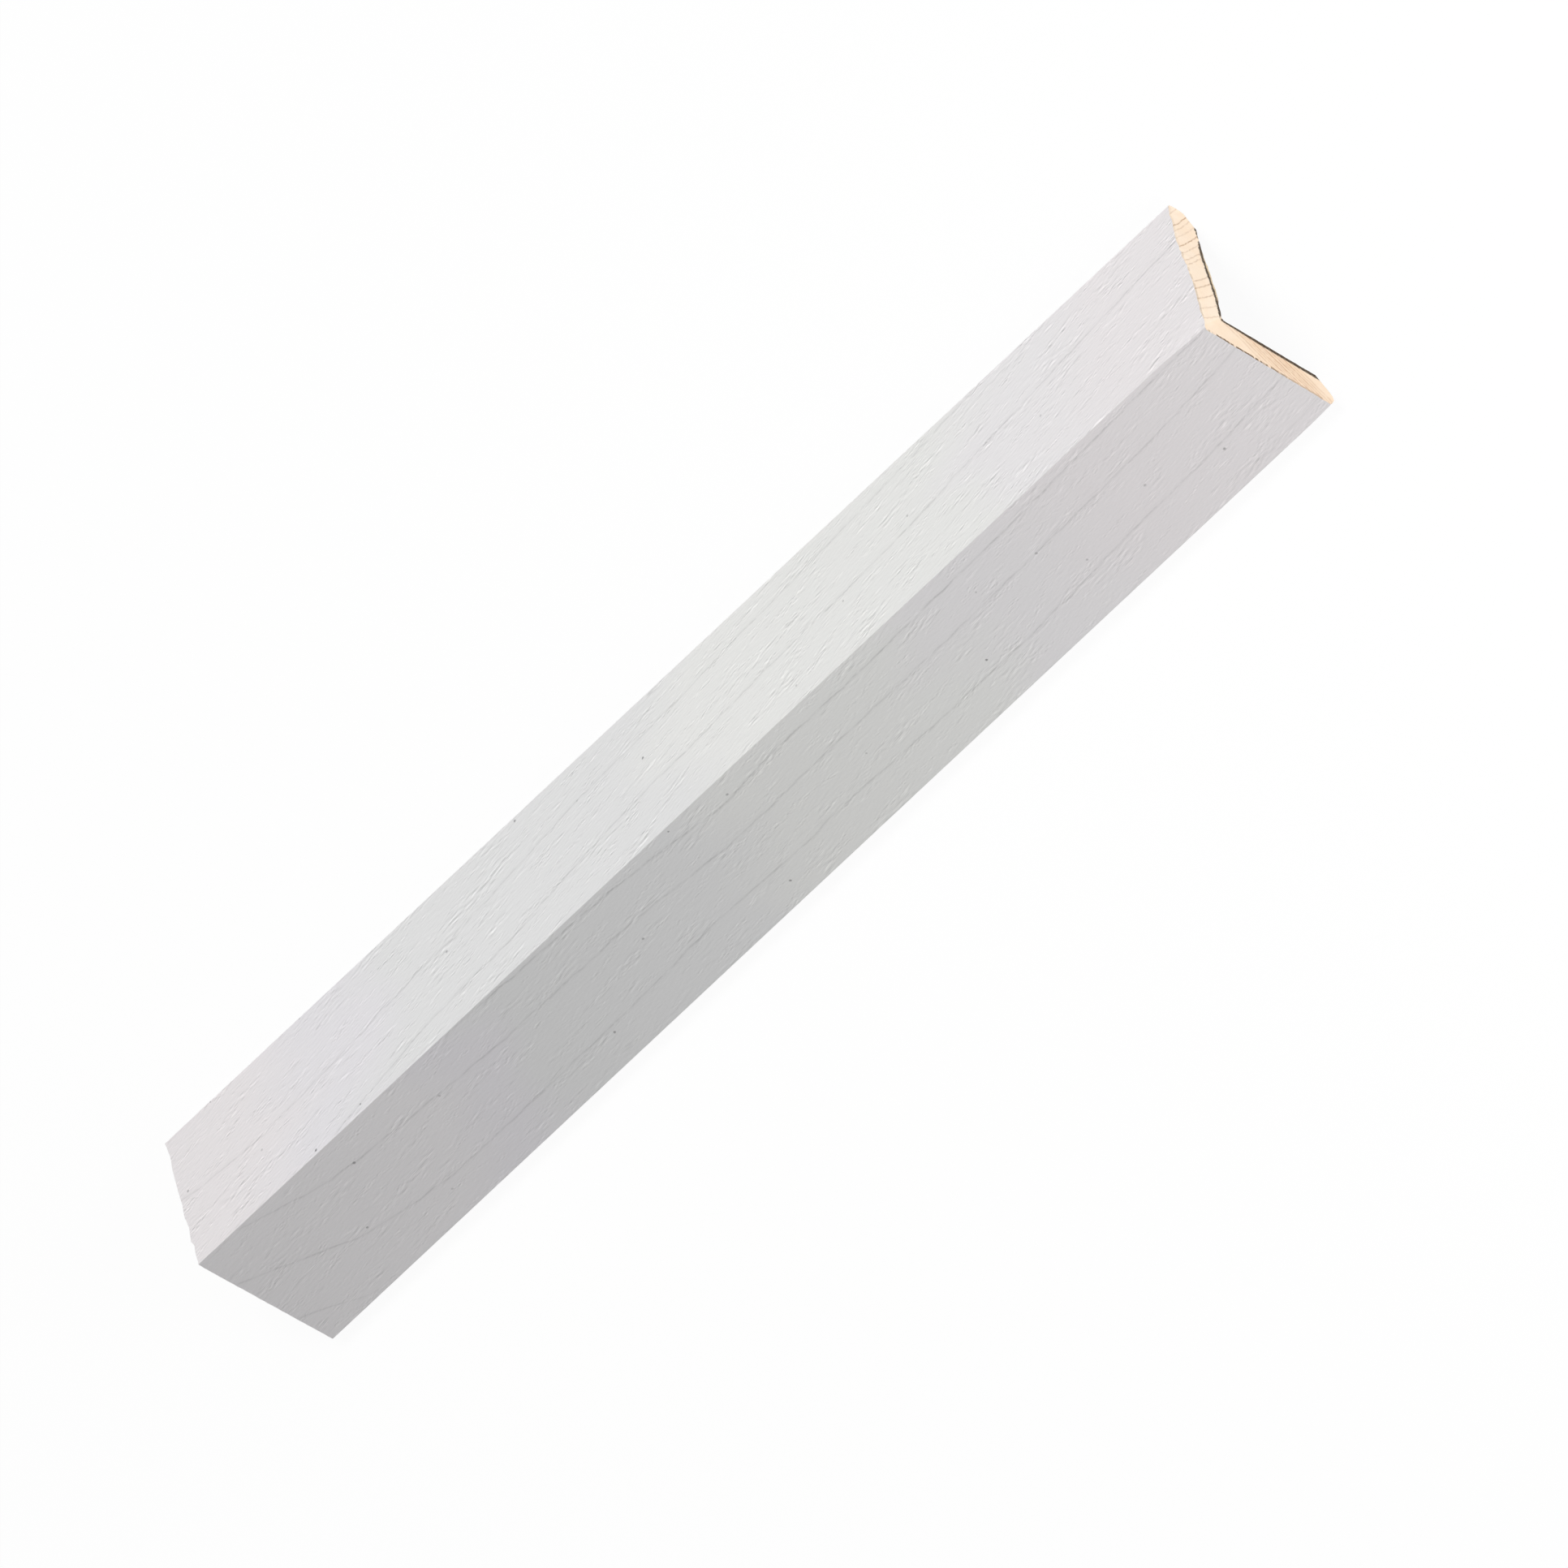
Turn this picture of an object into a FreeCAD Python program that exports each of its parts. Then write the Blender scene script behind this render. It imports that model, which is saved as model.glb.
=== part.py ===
import FreeCAD, Part
import math
import os

import Sketcher

# A right-angle corner guard moulding, milled from one length of pine.
# It lies as a tent on the floor: its outer corner is up, and the bevels on the
# back of its two long edges are the flats it rests on.
# X runs along the length, Y across it and Z up. The origin is on the floor under
# the middle of the piece. All sizes are in millimetres.

driving_sizes = [
    ("piece_length", 233.0, "length of the cut piece"),
    ("leg_width", 28.6, "outer width of each leg, from the outer corner to its edge"),
    ("wall_thickness", 5.6, "thickness of each leg"),
    ("edge_bevel", 2.2, "bevel on the back of each long edge, at 45 degrees"),
    ("corner_easing", 0.3, "radius that eases the outer corner and the outer edges"),
]

tolerance = 1e-6


def add_size_sheet(doc):
    sheet = doc.addObject("Spreadsheet::Sheet", "Sizes")
    for row, (alias, value, meaning) in enumerate(driving_sizes, start=1):
        sheet.set(f"A{row}", meaning)
        sheet.set(f"B{row}", str(value))
        sheet.setAlias(f"B{row}", alias)
    doc.recompute()
    return sheet


def section_points(sheet):
    # Corners of the plain angle, as (Y, Z), before its bevels and eased corners
    slope = math.sqrt(0.5)
    crest_height = (sheet.leg_width + sheet.wall_thickness - sheet.edge_bevel) * slope
    leg = sheet.leg_width * slope
    wall = sheet.wall_thickness * slope
    return {
        "crest": (0.0, crest_height),
        "right_outer": (leg, crest_height - leg),
        "right_inner": (leg - wall, crest_height - leg - wall),
        "root": (0.0, crest_height - 2 * wall),
        "left_inner": (wall - leg, crest_height - leg - wall),
        "left_outer": (-leg, crest_height - leg),
    }


def origin_plane(body, role):
    return next(item for item in body.Origin.OriginFeatures if item.Role == role)


def draw_section(body, sheet):
    sketch = body.newObject("Sketcher::SketchObject", "Section")
    sketch.AttachmentSupport = (origin_plane(body, "YZ_Plane"), [""])
    sketch.MapMode = "FlatFace"

    corners = [FreeCAD.Vector(y, z, 0) for y, z in section_points(sheet).values()]
    right_face, right_edge, right_back, left_back, left_edge, left_face = [
        sketch.addGeometry(Part.LineSegment(start, end), False)
        for start, end in zip(corners, corners[1:] + corners[:1])
    ]

    start, end = 1, 2
    origin_point, vertical_axis = -1, -2
    outline = [right_face, right_edge, right_back, left_back, left_edge, left_face]
    for line, following in zip(outline, outline[1:] + outline[:1]):
        sketch.addConstraint(Sketcher.Constraint("Coincident", line, end, following, start))
    sketch.addConstraint(Sketcher.Constraint("PointOnObject", right_face, start, vertical_axis))
    sketch.addConstraint(Sketcher.Constraint("PointOnObject", left_back, start, vertical_axis))
    sketch.addConstraint(
        Sketcher.Constraint("Symmetric", right_edge, start, left_edge, end, vertical_axis))
    sketch.addConstraint(
        Sketcher.Constraint("Symmetric", right_edge, end, left_edge, start, vertical_axis))
    sketch.addConstraint(Sketcher.Constraint("Perpendicular", right_face, left_face))
    sketch.addConstraint(Sketcher.Constraint("Perpendicular", right_face, right_edge))
    sketch.addConstraint(Sketcher.Constraint("Parallel", right_face, right_back))

    measures = {
        "leg_width": (("Distance", right_face, sheet.leg_width), "Sizes.leg_width"),
        "wall_thickness": (("Distance", right_edge, sheet.wall_thickness), "Sizes.wall_thickness"),
        "crest_height": (
            ("DistanceY", origin_point, start, right_face, start, section_points(sheet)["crest"][1]),
            "(Sizes.leg_width + Sizes.wall_thickness - Sizes.edge_bevel) / sqrt(2)",
        ),
    }
    for name, (constraint, expression) in measures.items():
        index = sketch.addConstraint(Sketcher.Constraint(*constraint))
        sketch.renameConstraint(index, name)
        sketch.setExpression(f"Constraints.{name}", expression)
    return sketch


def long_edges(shape, places):
    # Names of the edges that run along the length through the given (Y, Z) places
    names = []
    for number, edge in enumerate(shape.Edges, start=1):
        box = edge.BoundBox
        straight = box.YLength < tolerance and box.ZLength < tolerance
        if straight and any(
            math.dist((box.Center.y, box.Center.z), place) < tolerance for place in places
        ):
            names.append(f"Edge{number}")
    return names


def build_corner_guard(doc, sheet):
    body = doc.addObject("PartDesign::Body", "corner_guard")
    body.Label = "corner_guard"
    section = draw_section(body, sheet)
    doc.recompute()

    stock = body.newObject("PartDesign::Pad", "Stock")
    stock.Profile = section
    stock.SideType = "Symmetric"
    stock.setExpression("Length", "Sizes.piece_length")
    doc.recompute()

    places = section_points(sheet)
    bevels = body.newObject("PartDesign::Chamfer", "BackBevels")
    bevels.Base = (stock, long_edges(stock.Shape, [places["right_inner"], places["left_inner"]]))
    bevels.setExpression("Size", "Sizes.edge_bevel")
    doc.recompute()

    outer_places = [places["crest"], places["right_outer"], places["left_outer"]]
    easing = body.newObject("PartDesign::Fillet", "EasedCorners")
    easing.Base = (bevels, long_edges(bevels.Shape, outer_places))
    easing.setExpression("Radius", "Sizes.corner_easing")
    doc.recompute()
    body.Placement = FreeCAD.Placement()
    return body


def check_document(doc, bodies):
    for item in doc.Objects:
        if "Invalid" in item.State or "Error" in item.State:
            raise RuntimeError(f"{item.Label} failed: {item.State}")
    for body in bodies:
        if body.Shape.isNull() or not body.Shape.isValid():
            raise RuntimeError(f"{body.Label} has no valid shape")
        if len(body.Shape.Solids) != 1:
            raise RuntimeError(f"{body.Label} is not one solid")


def export_bodies(bodies):
    os.makedirs("parts", exist_ok=True)
    for body in bodies:
        body.Shape.exportStep(f"parts/{body.Label}.step")
        box = body.Shape.BoundBox
        print(body.Label, "volume", round(body.Shape.Volume, 1), "mm3, box",
              [round(size, 3) for size in (box.XLength, box.YLength, box.ZLength)],
              "lowest point", round(box.ZMin, 4))


doc = FreeCAD.newDocument("corner_guard_moulding")
sheet = add_size_sheet(doc)
bodies = [build_corner_guard(doc, sheet)]
doc.recompute()
check_document(doc, bodies)
export_bodies(bodies)
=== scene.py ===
import math

import bmesh
import bpy
import numpy as np
from mathutils import Matrix, Vector


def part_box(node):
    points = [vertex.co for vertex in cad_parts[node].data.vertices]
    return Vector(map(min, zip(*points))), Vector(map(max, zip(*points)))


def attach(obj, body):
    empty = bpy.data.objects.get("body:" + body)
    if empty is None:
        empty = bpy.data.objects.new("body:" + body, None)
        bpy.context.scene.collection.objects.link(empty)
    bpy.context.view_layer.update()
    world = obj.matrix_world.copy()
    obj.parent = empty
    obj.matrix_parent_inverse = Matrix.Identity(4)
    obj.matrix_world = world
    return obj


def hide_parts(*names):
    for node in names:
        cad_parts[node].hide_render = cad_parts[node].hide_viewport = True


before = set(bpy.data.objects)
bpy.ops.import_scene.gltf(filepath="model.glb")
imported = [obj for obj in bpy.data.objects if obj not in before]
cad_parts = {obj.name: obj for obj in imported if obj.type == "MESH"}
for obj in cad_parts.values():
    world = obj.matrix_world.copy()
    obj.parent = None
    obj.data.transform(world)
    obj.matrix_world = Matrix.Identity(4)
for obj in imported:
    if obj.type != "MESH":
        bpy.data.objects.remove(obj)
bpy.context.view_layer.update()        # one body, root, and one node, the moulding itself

mm = 0.001
scene = bpy.context.scene
scene.view_settings.view_transform = "Standard"
nodeLow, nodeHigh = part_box("corner_guard")
print("frame loaded, box", [round(side / mm, 2) for side in nodeHigh - nodeLow], "mm")


# The section has two directions of its own: u runs down the right leg from the outer corner and
# v down the left leg. The depth into the wall is v on the right leg and u on the left one.
moulding = {
    "legWidth": 28.6 * mm,
    "wall": 5.6 * mm,
    "bevel": 2.2 * mm,          # broken back corner of each tip
    "easing": 0.31 * mm,        # rounding of the tips
    "cornerRadius": 0.07 * mm,  # the outer corner is crisper, and the faces fall away towards it
    "cornerDrop": 0.07 * mm,
    "cornerDropReach": 8 * mm,
    "length": nodeHigh.x - nodeLow.x,
    "faceRows": 132,
    "columns": 300,
    "rowSearch": 1600,          # places tried when the rows of a face are laid out
    "arcSteps": 4,
    "backRows": 30,
    "backColumns": 76,
    "depths": [0.7, 1.6, 2.5, 3.4, 4.1, 4.8, 5.2, 5.6],     # mm into the wall, out to the back
    "endPoints": [110, 90, 72, 58, 48, 40, 36],             # mesh points per leg at those depths
    "backRoughness": 0.09 * mm,
    "rightBackExtra": 1.6,      # the back of the right leg is rougher by this much
    "endRoughness": 0.03 * mm,
    "snugRow": 0.04 * mm,       # a row of the face right beside each rounded corner keeps it crisp
    "noseRight": 0.25 * mm,     # the edge of a tip is a little full in its middle
    "noseLeft": 0.95 * mm,
    "tipTurnRight": math.radians(15),   # its rounding starts at this slope, to run on into the nose
    "tipTurnLeft": math.radians(40),
    "tipNip": 0.25 * mm,        # the left tip is rubbed down towards the near end
    "tipNipReach": 5.5 * mm,
    "cornerWear": 0.55 * mm,    # and the outer corner is rubbed over towards the left leg
    "cornerWearReach": 11 * mm,
    "cornerWearRight": 2.2 * mm,
    "cornerWearLeft": 3.0 * mm,
    "burr": 0.32 * mm,          # torn fibres along the back of the near cut, right leg only
    "burrReach": 2.5 * mm,
    "burrSpan": (8 * mm, 21 * mm),
    "burrFade": 3 * mm,
    "burrDepth": 0.92,          # share of the wall where they start
    "sharpAngle": math.radians(38),
    "seed": 11,
}

# Growth lines that telegraph through the paint, each with its strength. A point is the distance from
# the far end and the distance from the outer corner, both in mm.
grain = {
    "depthRight": 0.026 * mm,
    "depthLeft": 0.011 * mm,
    "steepSide": 0.14 * mm,
    "gentleSide": 0.25 * mm,
    "wander": 0.09 * mm,
    "crowding": 6.0,            # how much closer the mesh rows stand along a line
    "crowdingReach": 0.5 * mm,
    "swell": 0.02 * mm,
    "swellPeriods": (46 * mm, 9 * mm),
    "calmBorder": 0.5 * mm,     # relief dies away this near to the edges of a face
    "wanderPeriod": 7 * mm,
    "strength": 0.75,           # of a whole line, with a slow and a quick change along it
    "slowChange": (0.24, 13 * mm),
    "quickChange": (0.16, 4 * mm),
    "faintest": 0.25,
    "fadeOut": 3 * mm,          # a line that ends on the face fades over this length
    "runOut": 8 * mm,           # and its crowded rows run on this far
    "routeStep": 0.5 * mm,
    "routeBlur": 3.0,           # rounding of a line's bends, in steps
    "blurReach": 8,
    "right": [
        (1.0, [(30, 0), (34, 1.1), (45, 3.0), (51, 4.5), (60, 5.4), (75, 6.1), (84, 7.9), (95, 9.3),
               (107, 10.5), (118, 10.8), (135, 12.1), (151, 12.6), (170, 13.8), (184, 15.6),
               (197, 17.0), (212, 18.6), (226, 20.0), (233, 20.4)]),
        (0.8, [(0, 14.6), (10, 13.4), (17, 12.8), (26, 13.4), (40, 14.5), (56, 16.2), (63, 16.5),
               (80, 18.7), (94, 20.6), (118, 21.7), (130, 23.0), (148, 24.2), (167, 25.7),
               (177, 26.8), (189, 28.2)]),
        (0.4, [(6, 8.2), (9.4, 6.7), (12.4, 5.7), (20.4, 6.8)]),
    ],
    "left": [
        (1.0, [(52, 0), (62, 0.4), (71, 0.9), (90, 1.4), (103, 2.6), (110, 3.5), (115, 4.5), (119, 4.5),
               (127, 3.5), (150, 3.6), (168, 3.1), (184, 2.8), (206, 1.8), (226, 0.9), (233, 0.6)]),
        (0.8, [(8, 0), (13, 1.9), (19, 3.9), (24, 5.5), (30, 6.3), (42, 7.3), (59, 8.5), (82, 8.9),
               (91, 8.9), (103, 10.1), (110, 10.9), (118, 11.0), (135, 10.6), (162, 10.7),
               (183, 10.2), (199, 9.8), (214, 9.3), (226, 8.3), (233, 7.6)]),
        (0.8, [(0, 7.9), (6, 10.8), (10, 13.3), (14, 15.2), (19.5, 18.2), (24, 19.0), (30, 20.3),
               (37, 21.1), (53, 21.2), (75, 21.0), (88, 20.6), (96, 20.0), (110, 20.5), (118, 20.9),
               (129, 20.4), (147, 21.1), (170, 21.2), (186, 20.4), (194, 19.8), (214, 19.3),
               (225, 18.4), (233, 17.9)]),
        (0.6, [(0, 20.8), (4, 22.9), (7.7, 25.5), (11.7, 28.1)]),
        (0.4, [(213, 27.1), (233, 25.7)]),
    ],
}

# How far each cut end falls short of the full length, by the distance from the outer corner, mm.
cuts = {
    "nearRight": [(0, 0.2), (1, 0.06), (3.3, 0.0), (9.4, 0.03), (12.4, 0.15), (15, 0.4), (17.5, 0.72),
                  (20.5, 0.88), (23.6, 0.83), (26.6, 0.88), (28.6, 0.7)],
    "nearLeft": [(0, 0.6), (0.6, 0.69), (28.6, 1.09)],
    "nearRightBack": [(0, 0.3), (5.6, 0.32), (11.5, 0.38), (15.5, 0.58), (19.6, 0.76), (28.6, 0.81)],
    "nearLeftBack": [(0, 0.6), (5.6, 0.8), (28.6, 1.1)],
    "farRight": [(0, 0.34), (2.2, 0.32), (4.1, 0.54), (5.4, 0.12), (8.5, 0.41), (10.9, 0.18), (14.4, 0.33),
                 (17.1, 0.23), (22.5, 0.3), (24.3, 0.5), (26.6, 0.44), (28.6, 0.13)],
    "farLeft": [(0, 0.23), (28.6, 0.78)],
    "farRightBack": [(0, 0.3), (9, 0.35), (18, 0.25), (28.6, 0.3)],
    "farLeftBack": [(0, 0.3), (28.6, 0.78)],
    # saw marks along the painted edge of each cut: how deep, mm, and how far apart
    "sawDepth": {"nearRight": 0.28, "nearLeft": 0.1, "farRight": 0.1, "farLeft": 0.06},
    "sawStep": 0.7,
    "cornerBlend": 2 * mm,      # the cuts of the two legs run together over this width
    "seed": 23,
}

# Specks of dirt in the paint: distance from the far end, from the outer corner, size in mm, darkness.
specks = {
    "right": [(27.7, 0.9, 0.54, 0.81), (38.2, 1.7, 0.38, 0.78), (17.8, 10.3, 0.5, 0.33),
              (2.1, 15.5, 0.5, 0.53), (61.8, 15.1, 0.5, 0.58), (107.7, 17, 0.54, 0.73),
              (80.9, 27.6, 0.5, 0.68), (93.4, 20.5, 0.43, 0.33), (152.5, 11.4, 0.48, 0.38),
              (168.6, 16.1, 0.48, 0.43), (139.6, 3.8, 0.48, 0.33), (198.2, 11.5, 0.48, 0.33),
              (10.7, 28.3, 0.42, 0.48), (31.3, 28.3, 0.48, 0.28)],
    "left": [(29.6, 6.3, 0.58, 0.63), (20.9, 17.2, 0.48, 0.53), (47.4, 8.1, 0.48, 0.33),
             (89.4, 12.8, 0.5, 0.48), (72.6, 22.3, 0.5, 0.58), (111.3, 24.1, 0.48, 0.68),
             (108, 1, 0.38, 0.63), (118.9, 3.5, 0.54, 0.48), (162.4, 18.8, 0.5, 0.73),
             (183.1, 10.3, 0.54, 0.43), (203.1, 15, 0.54, 0.38), (186.6, 17.9, 0.48, 0.38),
             (215.7, 20.4, 0.54, 0.58), (171.8, 7.8, 0.42, 0.33), (137.5, 16.1, 0.42, 0.33),
             (34.3, 23, 0.48, 0.28)],
    "reach": 2.5 * mm,
    "skinDepth": 0.5 * mm,      # only the painted skin gets them
}

diagonal = math.sqrt(0.5)
tiny = 1e-6
legWidth, wall, easing = moulding["legWidth"], moulding["wall"], moulding["easing"]
cornerRadius, cornerDrop = moulding["cornerRadius"], moulding["cornerDrop"]
cornerStart = cornerRadius + cornerDrop         # a painted face begins here
edgeDepth = wall - moulding["bevel"]            # the painted edge of a tip ends here
crestHeight = (legWidth + edgeDepth) * diagonal


def smoothStep(t):
    t = np.clip(t, 0.0, 1.0)
    return t * t * (3.0 - 2.0 * t)


def waves(rng, t, period, terms=5):
    total = np.zeros_like(t)
    for term in range(terms):
        total += np.sin(2 * math.pi * (t / (period * rng.uniform(0.6, 1.7)) + rng.random()))
    return total / math.sqrt(terms)


# One growth line: where it runs and how strong it is, column by column.
def growthLine(weight, points, x, rng):
    px, pw = (np.array(points, float) * mm).T
    startsInside, endsInside = px[0] > mm, px[-1] < moulding["length"] - mm
    run = grain["runOut"]
    px = np.concatenate([[px[0] - run], px, [px[-1] + run]])
    pw = np.concatenate([[2 * pw[0] - pw[1]], pw, [2 * pw[-1] - pw[-2]]])
    fine = np.arange(px[0], px[-1], grain["routeStep"])
    reach = grain["blurReach"]
    blur = np.exp(-0.5 * (np.arange(-reach, reach + 1) / grain["routeBlur"]) ** 2)
    route = np.convolve(np.pad(np.interp(fine, px, pw), reach, "edge"), blur / blur.sum(), "valid")
    across = np.interp(x, fine, route) + grain["wander"] * waves(rng, x, grain["wanderPeriod"])
    slow, slowPeriod = grain["slowChange"]
    quick, quickPeriod = grain["quickChange"]
    strength = grain["strength"] + slow * waves(rng, x, slowPeriod)
    strength = strength + quick * waves(rng, x, quickPeriod)
    strength = weight * np.clip(strength, grain["faintest"], 1.0)
    presence = np.ones_like(x)
    if startsInside:
        strength *= smoothStep((x - px[1]) / grain["fadeOut"])
        presence *= smoothStep((x - px[1] + run) / run)
    if endsInside:
        strength *= smoothStep((px[-2] - x) / grain["fadeOut"])
        presence *= smoothStep((px[-2] + run - x) / run)
    return across, strength, presence


# An outer face as rows that crowd together along the growth lines. Returns for every column and
# row the distance from the outer corner, how far the paint sinks there, and the line's mark.
def outerFace(side, rng):
    x = np.linspace(0.0, moulding["length"], moulding["columns"])
    lines = [growthLine(weight, points, x, rng) for weight, points in grain[side]]
    ways = np.linspace(cornerStart, legWidth - easing, moulding["rowSearch"])
    crowd = np.ones((len(x), len(ways)))
    for across, strength, presence in lines:
        near = np.exp(-((ways[None] - across[:, None]) / grain["crowdingReach"]) ** 2)
        crowd += grain["crowding"] * presence[:, None] * near
    share = np.cumsum(crowd, axis=1)
    share = (share - share[:, :1]) / (share[:, -1:] - share[:, :1])
    even = np.linspace(0.0, 1.0, moulding["faceRows"])
    rows = np.array([np.interp(even, share[i], ways) for i in range(len(x))])
    rows[:, 1] = cornerStart + moulding["snugRow"]
    rows[:, -2] = legWidth - easing - moulding["snugRow"]
    mark = np.zeros_like(rows)
    for across, strength, presence in lines:
        off = rows - across[:, None]
        reach = np.where(off < 0, grain["steepSide"], grain["gentleSide"])
        mark = np.maximum(mark, strength[:, None] * np.exp(-(off / reach) ** 2))
    along = np.repeat(x[:, None], rows.shape[1], axis=1)
    longSwell, shortSwell = grain["swellPeriods"]
    swell = waves(rng, along + 2 * rows, longSwell) + waves(rng, rows - 0.1 * along, shortSwell)
    swell = grain["swell"] * np.clip(0.5 + 0.16 * swell, 0, 1)
    depth = grain["depthRight"] if side == "right" else grain["depthLeft"]
    border = smoothStep((rows - cornerStart) / grain["calmBorder"])
    border *= smoothStep((legWidth - easing - rows) / grain["calmBorder"])
    drop = np.clip(1.0 - (rows - cornerStart) / moulding["cornerDropReach"], 0.0, 1.0)
    sink = (depth * mark + swell) * border + cornerDrop * drop ** 2
    return rows, sink, mark * border


sawPlaces = np.arange(0.0, legWidth / mm + 1.0, cuts["sawStep"])
sawRng = np.random.default_rng(cuts["seed"])
sawMarks = {}
for edge, sawDepth in cuts["sawDepth"].items():
    sawMarks[edge] = sawDepth * (sawRng.random(len(sawPlaces)) - 0.5)


def cutShort(end, u, v):
    inward = np.minimum(u, v) / wall
    short = {}
    for side, way in (("Right", u), ("Left", v)):
        front = np.interp(way / mm, *np.array(cuts[end + side]).T)
        front = np.maximum(front + np.interp(way / mm, sawPlaces, sawMarks[end + side]), 0.0)
        back = np.interp(way / mm, *np.array(cuts[end + side + "Back"]).T)
        short[side] = front + (back - front) * inward
    onRight = smoothStep((u - v) / cuts["cornerBlend"] + 0.5)
    return mm * (short["Left"] + (short["Right"] - short["Left"]) * onRight)


# Section points at a share of the length, from 0 at the far cut to 1 at the near cut.
def placed(u, v, share):
    u, v, share = np.broadcast_arrays(np.asarray(u, float), np.asarray(v, float), share)
    far = nodeLow.x + cutShort("far", u, v)
    near = nodeHigh.x - cutShort("near", u, v)
    x = far + (near - far) * share
    short = nodeHigh.x - x
    nip = np.clip(1.0 - short / moulding["tipNipReach"], 0.0, 1.0) * (v > u)
    wear = moulding["cornerWear"] * smoothStep(1.0 - short / moulding["cornerWearReach"])
    wear = wear * np.clip(1.0 - u / moulding["cornerWearRight"], 0.0, 1.0)
    wear = wear * np.clip(1.0 - v / moulding["cornerWearLeft"], 0.0, 1.0)
    burrStart, burrEnd = moulding["burrSpan"]
    burrFade, burrDepth = moulding["burrFade"], moulding["burrDepth"]
    burr = moulding["burr"] * smoothStep(1.0 - short / moulding["burrReach"]) * (u > v)
    burr = burr * smoothStep((u - burrStart) / burrFade) * smoothStep((burrEnd - u) / burrFade)
    burr = burr * smoothStep((v / wall - burrDepth) / (1.0 - burrDepth))
    v = v * (1.0 - nip * moulding["tipNip"] / legWidth) + wear + burr
    return np.stack([x, (u - v) * diagonal, crestHeight - (u + v) * diagonal], axis=-1)


class Skin:
    def __init__(self):
        self.points, self.faces, self.finish = [], [], []
        self.mark = []

    def add(self, places, mark=0.0):
        places = places.reshape(-1, 3)
        first = len(self.points)
        self.points.extend(map(tuple, places))
        self.mark.extend(np.broadcast_to(mark, len(places)))
        return np.arange(first, first + len(places))

    # Joins two runs of points, with quads where they match and triangles where they differ.
    def join(self, a, b, finish, sharesA=None, sharesB=None):
        if len(a) == len(b):
            made = [(a[i], a[i + 1], b[i + 1], b[i]) for i in range(len(a) - 1)]
        else:
            sharesA = np.linspace(0, 1, len(a)) if sharesA is None else sharesA
            sharesB = np.linspace(0, 1, len(b)) if sharesB is None else sharesB
            made, i, j = [], 0, 0
            while i < len(a) - 1 or j < len(b) - 1:
                if j == len(b) - 1 or (i < len(a) - 1 and sharesA[i + 1] <= sharesB[j + 1]):
                    made.append((a[i], a[i + 1], b[j]))
                    i += 1
                else:
                    made.append((a[i], b[j + 1], b[j]))
                    j += 1
        self.faces.extend(made)
        self.finish.extend([finish] * len(made))


# How far a leg reaches at a depth into its wall: a full edge first, then the bevel.
def tipReach(depth, nose=0.0):
    if depth > edgeDepth:
        return legWidth - (depth - edgeDepth)
    return legWidth + nose * math.sin(math.pi * (depth - easing) / (edgeDepth - easing))


def runShares(skin, run):
    spots = np.array([skin.points[i] for i in run])
    steps = np.linalg.norm(np.diff(spots[:, 1:], axis=0), axis=1)
    return np.concatenate([[0], np.cumsum(steps)]) / max(steps.sum(), tiny)


paintSlot, pineSlot, backSlot = 0, 1, 2


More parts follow.
